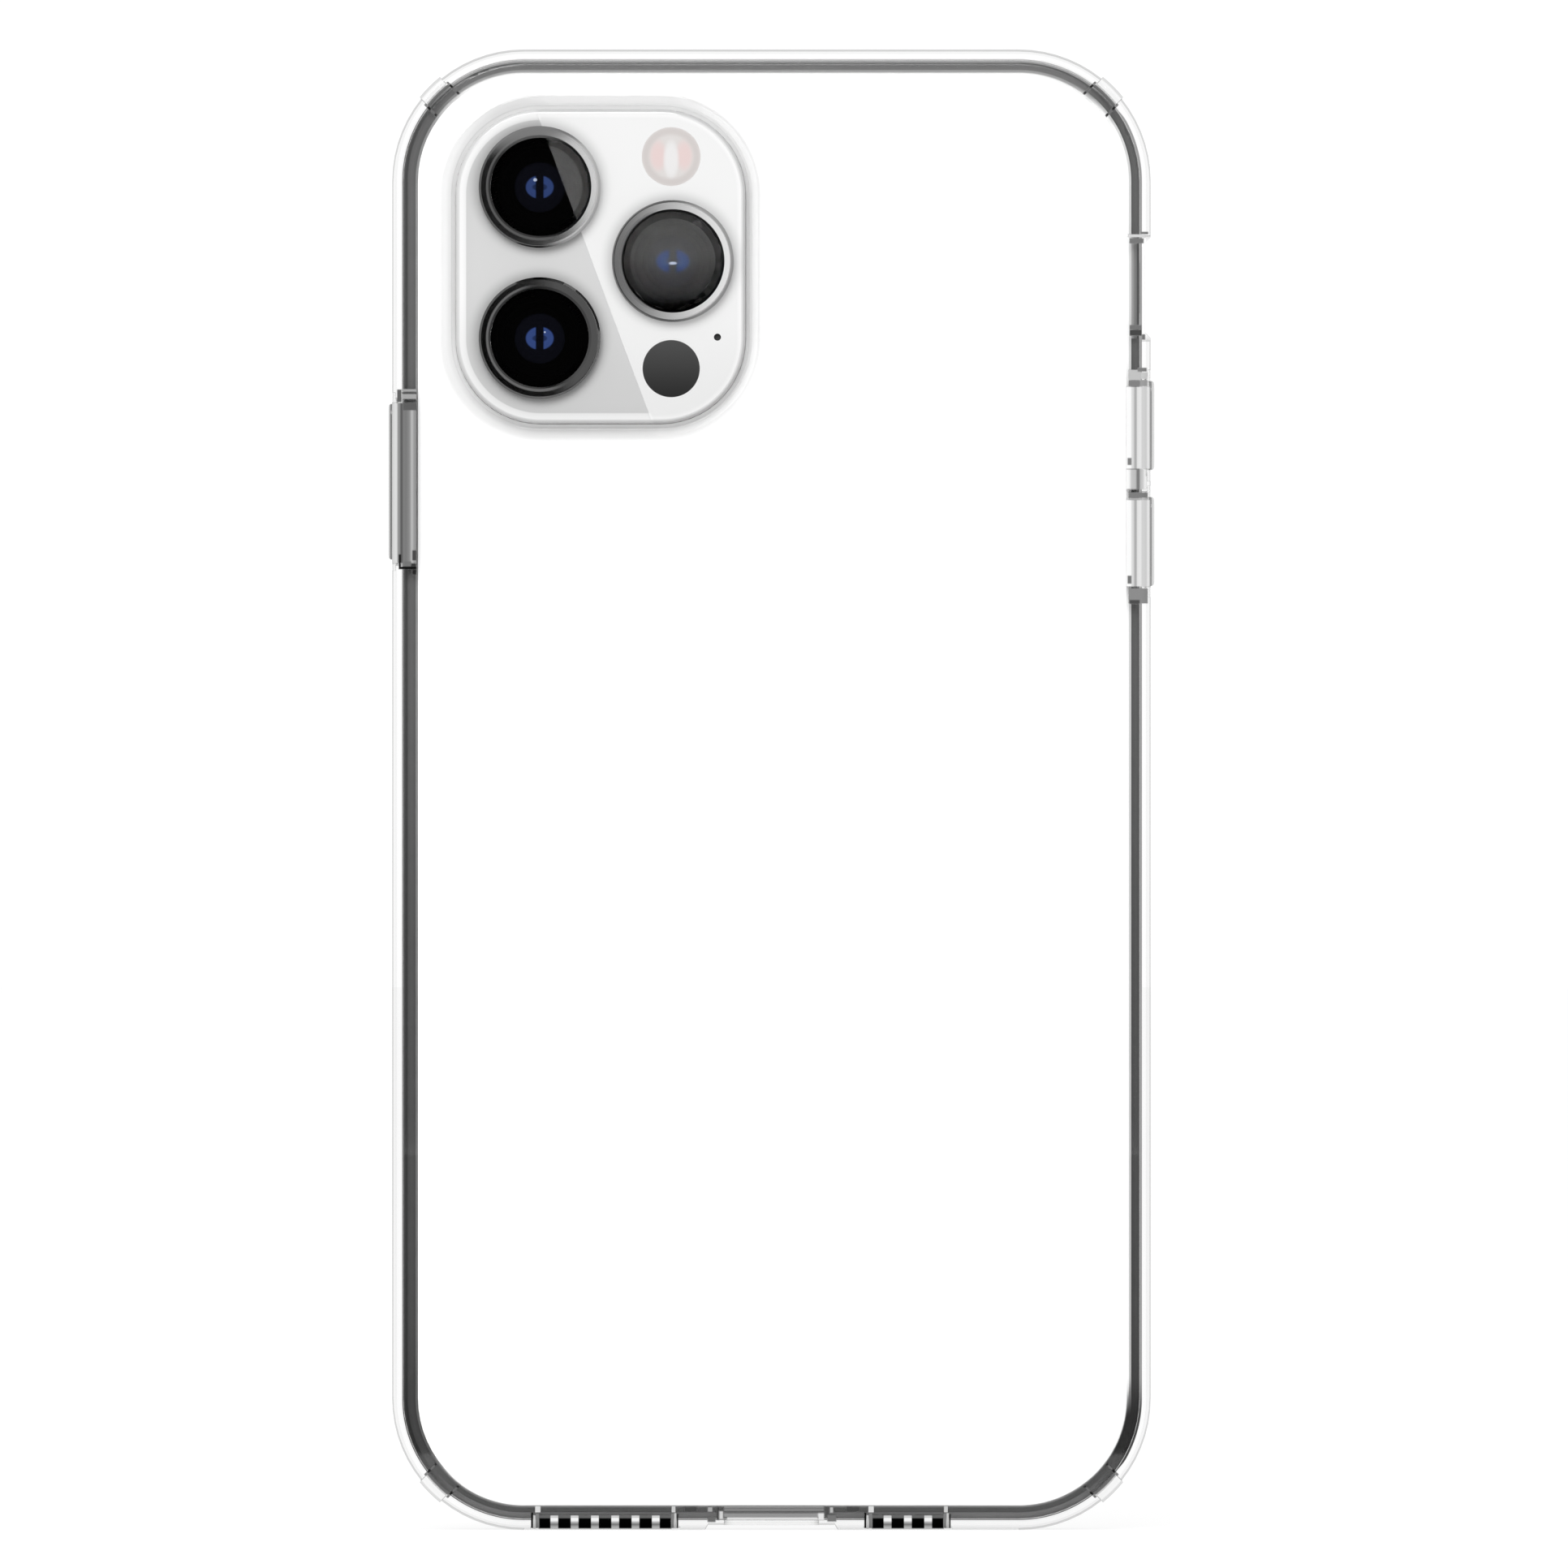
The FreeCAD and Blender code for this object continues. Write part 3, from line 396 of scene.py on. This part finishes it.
def soft_rim():
    """The rim: clear, with the bent light of its key pockets, corners and holes."""
    shade = Shade("clear_rim")
    x, y, _ = shade.axes()
    depth = shade.case_depth()
    behind = shade.math("LESS_THAN", y, REAR_Y)
    base = rim_plastic(shade, depth, behind)
    tone, cover = inner_line(shade, depth)
    for (low_x, high_x, low_z, high_z), stripes in KEY_ZONES:
        area = shade.window(low_x - 0.1, high_x + 0.1, low_z, high_z, 0.1)
        tone = shade.mix(area, tone, shade.strip(x, stripes))
        cover = shade.math("MAXIMUM", cover, area)
    tone, cover = lay(shade, tone, cover, GLINTS)
    tone, cover = corner_marks(shade, depth, tone, cover)
    for start, count in GRILLES:
        tone, cover = speaker_marks(shade, tone, cover, start, count)
    tone, cover = lay(shade, tone, cover, PORT_GLINTS, 0.08)
    painted = shade.node("ShaderNodeBsdfDiffuse", ((0, tone),)).outputs[0]
    return shade.done(shade.blend(shade.math("MULTIPLY", cover, behind), base, painted))


def simple_clear(name, **settings):
    """A material of one clear plastic."""
    shade = Shade(name)
    return shade.done(shade.clear(**settings))


assign(soft_rim(), "bumper_frame")
assign(simple_clear("clear_panel", edge=0.9, flat=True), "back_panel")
assign(simple_clear("clear_guard", face=0.995, edge=0.93, start=0.4, gloss=0.02, most=0.25),
       "camera_guard_ring")
assign(simple_clear("clear_cushion", face=0.96, edge=0.8),
       *(f"corner_cushion_{name}" for name in ("top_left", "top_right", "bottom_left",
                                               "bottom_right")))


def key_cover():
    """A key's soft cover: clear, with a grey line of painted bent light along its outer edge."""
    shade = Shade("clear_cover")
    x, _, _ = shade.axes()
    left = shade.strip(x, [(-37.8, 250), (-37.7, 232), (-37.62, 186), (-37.46, 182), (-37.38, 224),
                           (-36.85, 226)], SKY)
    right = shade.strip(x, [(36.85, 214), (37.05, 236), (37.13, 253), (37.26, 246), (37.34, 186),
                            (37.48, 186), (37.58, 234), (37.8, 246)], SKY)
    colour = shade.mix(shade.math("GREATER_THAN", x, 0.0), left, right)
    tint = shade.mix(shade.span(shade.normal_y(), -0.1, -0.3), grey(0.98), colour)
    through = shade.node("ShaderNodeBsdfTransparent", ((0, tint),)).outputs[0]
    shine = shade.node("ShaderNodeBsdfGlossy", (("Roughness", 0.05),)).outputs[0]
    share = shade.gloss_share(shade.facing(), 0.03, 0.3)
    return shade.done(shade.blend(share, through, shine))


assign(key_cover(), "side_key_cover", "volume_up_cover", "volume_down_cover")


# Phone: metal

def band():
    """Dark brushed metal: fine lines of painted reflection on its rear edge, painted darker low
    down and lighter high up, and plain sides.
    """
    shade = Shade("graphite_band")
    _, y, z = shade.axes()
    depth = shade.case_depth()
    left = shade.strip(depth, [(1.1, 106), (1.22, 98), (1.34, 72), (1.48, 68), (1.6, 100),
                               (1.9, 106), (2.28, 98), (2.35, 156), (2.55, 160)])
    right = shade.strip(depth, [(1.1, 124), (1.2, 110), (1.3, 103), (1.75, 99), (1.82, 90),
                                (1.9, 96), (1.94, 236), (2.04, 222), (2.12, 240), (2.17, 290),
                                (2.55, 310)])
    notch = shade.strip(depth, [(1.1, 150), (1.18, 96), (1.32, 88), (1.42, 124), (1.56, 126),
                                (1.66, 146), (1.8, 160), (1.9, 178), (1.97, 236), (2.1, 240),
                                (2.17, 290), (2.55, 310)])
    top = shade.strip(depth, [(1.1, 180), (1.26, 180), (1.33, 96), (1.42, 84), (1.52, 104),
                              (1.62, 122), (2.0, 124), (2.06, 164), (2.24, 172), (2.32, 240),
                              (2.38, 290), (2.55, 300)])
    bottom = shade.strip(depth, [(1.1, 108), (1.7, 110), (1.77, 50), (1.9, 60), (2.2, 66),
                                 (2.26, 130), (2.36, 150), (2.42, 230), (2.48, 290), (2.55, 300)])
    turn = shade.strip(depth, [(1.1, 74), (1.24, 68), (1.7, 74), (2.22, 70), (2.32, 150),
                               (2.38, 270), (2.55, 300)])
    right = shade.mix(shade.span(z, *LOWER_TURN), right, turn)
    cut = shade.math("MULTIPLY", shade.math("GREATER_THAN", z, NOTCH[0]),
                     shade.math("LESS_THAN", z, NOTCH[1]))
    tone = shade.around(left, shade.mix(cut, right, notch), bottom, top)
    # Painted shading: the band is darker low down and lighter high up
    height_shading = shade.ramp(shade.span(z, 0.0, CASE_HEIGHT, smooth=False), [
        (0.0, 1.0), (0.018, 0.98), (0.042, 0.6), (0.095, 0.62), (0.14, 0.8), (0.41, 1.05),
        (0.58, 1.35), (0.9, 1.5), (1.0, 1.35)])
    level = shade.node("ShaderNodeRGBToBW", ((0, tone),)).outputs[0]
    pale = shade.span(level, 0.3, 0.6)
    colour = shade.mix(pale, shade.tinted(tone, height_shading), tone)
    edge = shade.span(shade.math("ABSOLUTE", shade.normal_y()), 0.1, 0.35)
    colour = shade.mix(edge, paint(118), colour)
    grain = shade.node("ShaderNodeTexNoise", (("W", y), ("Scale", 9.0), ("Detail", 4.0)),
                       noise_dimensions="1D").outputs[0]
    colour = shade.tinted(colour, shade.span(grain, 0.3, 0.7, 0.9, 1.1, smooth=False))
    rough = shade.span(grain, 0.3, 0.7, 0.22, 0.36)
    pale = shade.math("MULTIPLY", pale, edge)
    metal = shade.math("MULTIPLY", shade.math("SUBTRACT", 1.0, pale), 0.45)
    return shade.done(shade.principled(colour, rough, metal, Specular_IOR_Level=0.15))


def plain(name, colour, roughness=0.4, metallic=0.0, **more):
    """A material of one colour."""
    shade = Shade(name)
    return shade.done(shade.principled(colour, roughness, metallic, **more))


assign(band(), "phone_frame")
assign(plain("graphite_key", grey(0.16), 0.28, 0.6),
       "side_key", "volume_up_key", "volume_down_key", "mute_switch")
assign(plain("inner_metal", grey(0.5), 0.25, 1.0),
       "port_shell", "bottom_screws", "midframe_plate", "camera_module", "vibration_motor")
assign(plain("inner_dark", grey(0.02), 0.5),
       "battery", "logic_board", "speaker_module", "port_tongue")
assign(plain("mesh_dark", grey(0.01), 0.6),
       "speaker_mesh_left", "speaker_mesh_right", "earpiece_mesh", "rear_mic_insert")


# Phone: glass

def white_back():
    """White glass with a soft shadow round the island, deeper below it."""
    shade = Shade("white_back")
    x, _, z = shade.axes()
    away = shade.outline(ISLAND["centre"], ISLAND["half"], ISLAND["radius"])
    right = shade.strip(away, [(0.0, 250), (0.2, 248), (0.4, 239), (0.65, 243), (1.0, 250),
                               (1.4, 256), (1.7, 320)])
    left = shade.strip(away, [(0.0, 246), (0.2, 243), (0.4, 249), (0.65, 263), (1.0, 275),
                              (1.4, 276), (1.7, 320)])
    below = shade.strip(away, [(0.0, 290), (0.2, 280), (0.45, 265), (0.7, 265), (1.0, 269),
                               (1.3, 265), (1.6, 275), (1.95, 320)])
    far_left = ISLAND["centre"][0] - ISLAND["half"][0]
    upper = shade.mix(shade.span(x, far_left - 1, far_left + 5), left, right)
    low = shade.span(z, ISLAND["centre"][1] - 4, ISLAND["centre"][1] - 15)
    colour = shade.mix(low, upper, below)
    return shade.done(shade.principled(colour, 0.08, Specular_IOR_Level=0.3))


assign(white_back(), "back_glass")


def island_face():
    """Pale glass with a painted bright highlight along its margin, a thin darker edge of painted
    shade, and painted shadow below it and round the lenses.
    """
    shade = Shade("island_face")
    x, _, z = shade.axes()
    inside = shade.math("MULTIPLY",
                        shade.outline(ISLAND["centre"], ISLAND["half"], ISLAND["radius"]), -1.0)
    wide = shade.strip(inside, [(0.0, 192), (0.12, 200), (0.3, 204), (0.38, 214), (0.46, 236),
                                (0.75, 234), (1.0, 228), (1.1, 201), (2.0, 203)], FACE_LIGHT)
    thin = shade.strip(inside, [(0.0, 184), (0.15, 186), (0.28, 196), (0.36, 214), (0.5, 212),
                                (0.9, 203), (2.0, 203)], FACE_LIGHT)
    low_z, low_x, slant = 110.08, -12.04, 11.2 / 30  # Where the bright reflection's edge runs
    lean = shade.math("MULTIPLY", shade.math("SUBTRACT", z, low_z), slant)
    past = shade.math("ADD", shade.math("ADD", x, lean), -low_x)
    margin = shade.mix(shade.span(past, -0.3, 0.3), wide, thin)
    shadow = shade.span(z, ISLAND["centre"][1] - 14, ISLAND["centre"][1] - 2, 0.88, 1.0)
    for centre in LENSES.values():
        away = shade.disc(centre)
        shadow = shade.math("MULTIPLY", shadow, shade.span(away, 5.9, 7.3, 0.75, 1.0))
    colour = shade.tinted(margin, shadow)
    return shade.done(shade.principled(colour, 0.35, Specular_IOR_Level=0.0, Coat_Weight=1.0,
                                       Coat_Roughness=0.0, Coat_IOR=1.5))


assign(island_face(), "camera_island")


def lens_ring(name, centre, sheen_across, lines):
    """A dark polished ring, painted lighter towards one side, with softer light and dark lines of
    painted reflection laid into it.

    A line is (inner radius, outer radius, tone, (degrees, low, high)): it comes in
    between low and high, measured from the middle towards that side.
    """
    soft = 0.07
    shade = Shade(name)
    x, _, z = shade.axes()
    away = shade.disc(centre)
    across = shade.math("SUBTRACT", x, centre[0])
    up = shade.math("SUBTRACT", z, centre[1])
    # Painted reflection: the steel is lighter towards one side
    steel = shade.grey_from(shade.span(across, -6.0, 6.0, *sheen_across))
    surface = shade.principled(steel, 0.03, 1.0)
    for inner, outer, tone, (turn, low, high) in lines:
        angle = math.radians(turn)
        along = shade.math("ADD", shade.math("MULTIPLY", across, math.cos(angle)),
                           shade.math("MULTIPLY", up, math.sin(angle)))
        line = shade.math("MULTIPLY", shade.span(away, inner - soft, inner + soft),
                          shade.span(away, outer - soft, outer + soft, 1.0, 0.0))
        line = shade.math("MULTIPLY", line, shade.span(along, low, high))
        painted_line = shade.node("ShaderNodeBsdfDiffuse", ((0, paint(tone)),)).outputs[0]
        surface = shade.blend(line, surface, painted_line)
    return shade.done(surface)


assign(lens_ring("ring_upper", LENSES["upper"], (0.1, 0.135), (
    (5.0, 5.28, 90, (200, -1.0, 1.5)), (4.7, 5.0, 60, (200, 0.0, 2.5)),
    (5.62, 6.1, 186, (-10, 1.0, 4.5)), (4.7, 6.1, 122, (100, 3.4, 5.5)))), "lens_ring_upper")
assign(lens_ring("ring_lower", LENSES["lower"], (0.1, 0.12), (
    (5.0, 5.28, 104, (200, -2.0, 1.0)), (4.7, 5.0, 70, (200, 0.0, 2.5)),
    (4.7, 5.72, 80, (10, 0.0, 3.2)))), "lens_ring_lower")
assign(lens_ring("ring_side", LENSES["side"], (0.035, 0.15), (
    (5.66, 6.1, 158, (0, -1.0, 4.0)), (5.86, 6.1, 128, (180, -1.0, 4.0)),
    (5.02, 5.28, 110, (180, 1.0, 4.0)))), "lens_ring_side")


def lens_cover(name, strength, fade=None):
    """Coated clear glass, with a painted fade of its reflection down a lens where one is given."""
    shade = Shade(name)
    through = shade.node("ShaderNodeBsdfTransparent", ((0, grey(0.95)),)).outputs[0]
    rearward = shade.node("ShaderNodeCombineXYZ", ((1, -1.0),)).outputs[0]
    shine = shade.node("ShaderNodeBsdfGlossy",
                       (("Roughness", 0.0), ("Normal", rearward))).outputs[0]
    share = shade.gloss_share(shade.facing(), strength, 0.6)
    if fade:
        low, high = fade[0][0], fade[-1][0]
        share = shade.math("MULTIPLY", share, shade.ramp(
            shade.span(shade.axes()[2], low, high, smooth=False),
            [((at - low) / (high - low), level) for at, level in fade]))
    return shade.done(shade.blend(share, through, shine))


assign(lens_cover("lens_cover", 0.0115), "lens_glass_upper", "lens_glass_lower")
side_z = LENSES["side"][1]
assign(lens_cover("lens_cover_side", 0.0105, [
    (side_z + up, level) for up, level in ((-4.6, 0.05), (-3.9, 0.15), (-3.4, 0.33), (-2.9, 0.44),
                                           (-1.9, 0.55), (-0.9, 0.65), (0.8, 0.98), (4.6, 1.0))]),
       "lens_glass_side")
assign(plain("barrel_black", grey(0.0006), 0.6, Specular_IOR_Level=0.0),
       "lens_barrel_upper", "lens_barrel_lower", "lens_barrel_side")


def element(name, centre, blue, glint, size, wide):
    """Lens element: a dark dome, two blue crescents of painted reflection about a dark slit, and a
    small painted glint.
    """
    shade = Shade(name)
    x, _, z = shade.axes()
    across = shade.math("SUBTRACT", x, centre[0])
    up = shade.math("SUBTRACT", z, centre[1])
    lobe = shade.math("MULTIPLY", shade.span(shade.oval(across, up, wide, 1.12),
                                             0.85, 1.15, 1.0, 0.0),
                      shade.span(shade.math("ABSOLUTE", across), 0.3, 0.48))
    lobe = shade.math("MULTIPLY", lobe, shade.span(shade.oval(across, up, 0.72, 0.36),
                                                   0.6, 1.4, 0.4, 1.0))
    spot = shade.oval(shade.math("SUBTRACT", across, glint[0]),
                      shade.math("SUBTRACT", up, glint[1]), *size)
    colour = shade.mix(lobe, (0.0028, 0.003, 0.005, 1), blue)
    colour = shade.mix(shade.span(spot, 0.5, 1.2, 0.8, 0.0), colour, (0.42, 0.48, 0.62, 1))
    return shade.done(shade.principled(colour, 0.5, Specular_IOR_Level=0.0))


assign(element("element_upper", LENSES["upper"], (0.024, 0.043, 0.13, 1), (-0.45, 0.72),
               (0.2, 0.17), 1.36), "lens_element_upper")
assign(element("element_lower", LENSES["lower"], (0.028, 0.052, 0.165, 1), (0.5, 0.6), (0.1, 0.1),
               1.36), "lens_element_lower")
assign(element("element_side", LENSES["side"], (0.01, 0.03, 0.11, 1), (0.0, -0.2), (0.42, 0.16),
               1.62), "lens_element_side")


def sensor():
    """Dark window, painted lighter towards the top as a reflection, with a crisp pale rim of
    painted highlight.
    """
    shade = Shade("sensor_window")
    z = shade.axes()[2]
    tone = shade.strip(z, [(SENSOR[1] + up, level) for up, level in ((-3, 44), (-1, 58), (3, 82))])
    away = shade.disc(SENSOR)
    colour = shade.mix(shade.span(away, 2.78, 2.86), tone, paint(240))
    return shade.done(shade.principled(colour, 0.4, Specular_IOR_Level=0.0))


assign(sensor(), "depth_sensor_window")


def flash_cover():
    """Frosted diffuser: a soft grey rim, two rosy patches and a bright middle of painted
    highlight.
    """
    shade = Shade("flash_cover")
    x, _, z = shade.axes()
    away = shade.disc(FLASH)
    side = shade.math("ABSOLUTE", shade.math("SUBTRACT", x, FLASH[0]))
    up = shade.math("SUBTRACT", z, FLASH[1])
    patch = shade.oval(shade.math("SUBTRACT", side, 1.3), shade.math("SUBTRACT", up, 0.1),
                       0.85, 1.5)
    middle = shade.oval(side, shade.math("ADD", up, 0.3), 0.75, 1.9)
    body = shade.mix(shade.span(patch, 0.1, 1.6, 1.0, 0.0), paint(226, 222, 220),
                     paint(234, 213, 211))
    body = shade.mix(shade.span(middle, 0.3, 1.5, 0.9, 0.0), body, paint(240, 239, 239))
    ring = shade.math("MULTIPLY", shade.span(away, 1.9, 2.45),
                      shade.span(away, 2.6, 2.95, 1.0, 0.35))
    colour = shade.mix(ring, body, paint(214, 208, 206))
    return shade.done(shade.principled(colour, 0.4, Specular_IOR_Level=0.05))


assign(flash_cover(), "flash_window")
assign(plain("emitter", (0.9, 0.75, 0.5, 1), 0.6), "flash_emitters")
assign(plain("screen_off", grey(0.004), 0.35, Specular_IOR_Level=0.05), "display_panel")
assign(simple_clear("front_glass", face=0.9, edge=0.8, gloss=0.026, most=0.8,
                    flat=True), "display_glass")
assign(plain("front_lens", (0.01, 0.012, 0.02, 1), 0.05), "front_camera_lens")


# Stage, in metres: camera, floor, soft light, and cards that only reflections see

CAMERA_AT = Vector((0.00124, -3.0, 0.07356))
VIEW_HEIGHT = 0.15456  # What the camera sees at the rim's rear face
FILM_WIDTH = 36  # Millimetres

camera = bpy.data.objects.new("camera", bpy.data.cameras.new("camera"))
bpy.context.collection.objects.link(camera)
camera.location = CAMERA_AT
camera.rotation_euler = (math.radians(90), 0, 0)
camera.data.sensor_width = FILM_WIDTH
camera.data.lens = FILM_WIDTH * (-CAMERA_AT.y - RIM_DEPTH / 2000) / VIEW_HEIGHT
camera.data.clip_end = 100
bpy.context.scene.camera = camera


def flat_mesh(name, points, material):
    """A flat stage piece through the given corners."""
    mesh = bpy.data.meshes.new(name)
    mesh.from_pydata(points, [], [tuple(range(len(points)))])
    mesh.materials.append(material)
    made = bpy.data.objects.new(name, mesh)
    bpy.context.collection.objects.link(made)
    return made


def glow(name, strength):
    """A material that gives white light."""
    shade = Shade(name)
    light = shade.node("ShaderNodeEmission", (("Color", grey(1.0)), ("Strength", strength)))
    return shade.done(light.outputs[0])


def card(name, points, strength):
    """A card that shows only in reflections."""
    made = flat_mesh(name, points, glow(name, strength))
    made.visible_camera = False
    made.visible_diffuse = False
    made.visible_transmission = False
    made.visible_shadow = False
    made.visible_volume_scatter = False


def upright(half, y, low, high):
    """The corners of an upright rectangle across the view."""
    return [(-half, y, low), (half, y, low), (half, y, high), (-half, y, high)]


def mirrored(x, z):
    """The point of the camera's plane that it sees reflected at (x, z) mm on the back."""
    return (2 * x / 1000 - CAMERA_AT.x, CAMERA_AT.y, 2 * z / 1000 - CAMERA_AT.z)


# Dark behind the camera, and low down, where clear faces would show the pale floor
card("dark_card", upright(0.9, -3.05, -0.7, 0.9), 0.02)
card("low_card", upright(0.05, -0.3, 0.001, 0.0333), 0.02)
# Bright, with the slanted edge that the island's glass reflects
card("bright_card", [mirrored(-23.6, 141.0), mirrored(-11.3, 108.0), mirrored(8.0, 108.0),
                     mirrored(8.0, 141.0)], 5.2)

flat_mesh("floor", [(-4, -4, 0), (4, -4, 0), (4, 8, 0), (-4, 8, 0)],
          plain("floor", grey(0.14), 0.9, Specular_IOR_Level=0.0,
                Emission_Color=grey(1.0), Emission_Strength=0.86))

world = bpy.data.worlds.new("studio")
bpy.context.scene.world = world
world.use_nodes = True
world.node_tree.nodes["Background"].inputs["Color"].default_value = grey(1.0)
world.node_tree.nodes["Background"].inputs["Strength"].default_value = SKY


def area(name, place, size, power):
    """A square soft light aimed at the middle of the case."""
    lamp = bpy.data.lights.new(name, "AREA")
    lamp.size = size
    lamp.energy = power
    made = bpy.data.objects.new(name, lamp)
    bpy.context.collection.objects.link(made)
    made.location = place
    aim = Vector((0, 0, 0.08)) - made.location
    made.rotation_euler = aim.to_track_quat("-Z", "Y").to_euler()


area("key", (-0.5, -2.2, 1.6), 1.6, 56)

bpy.context.scene.view_settings.view_transform = "Standard"
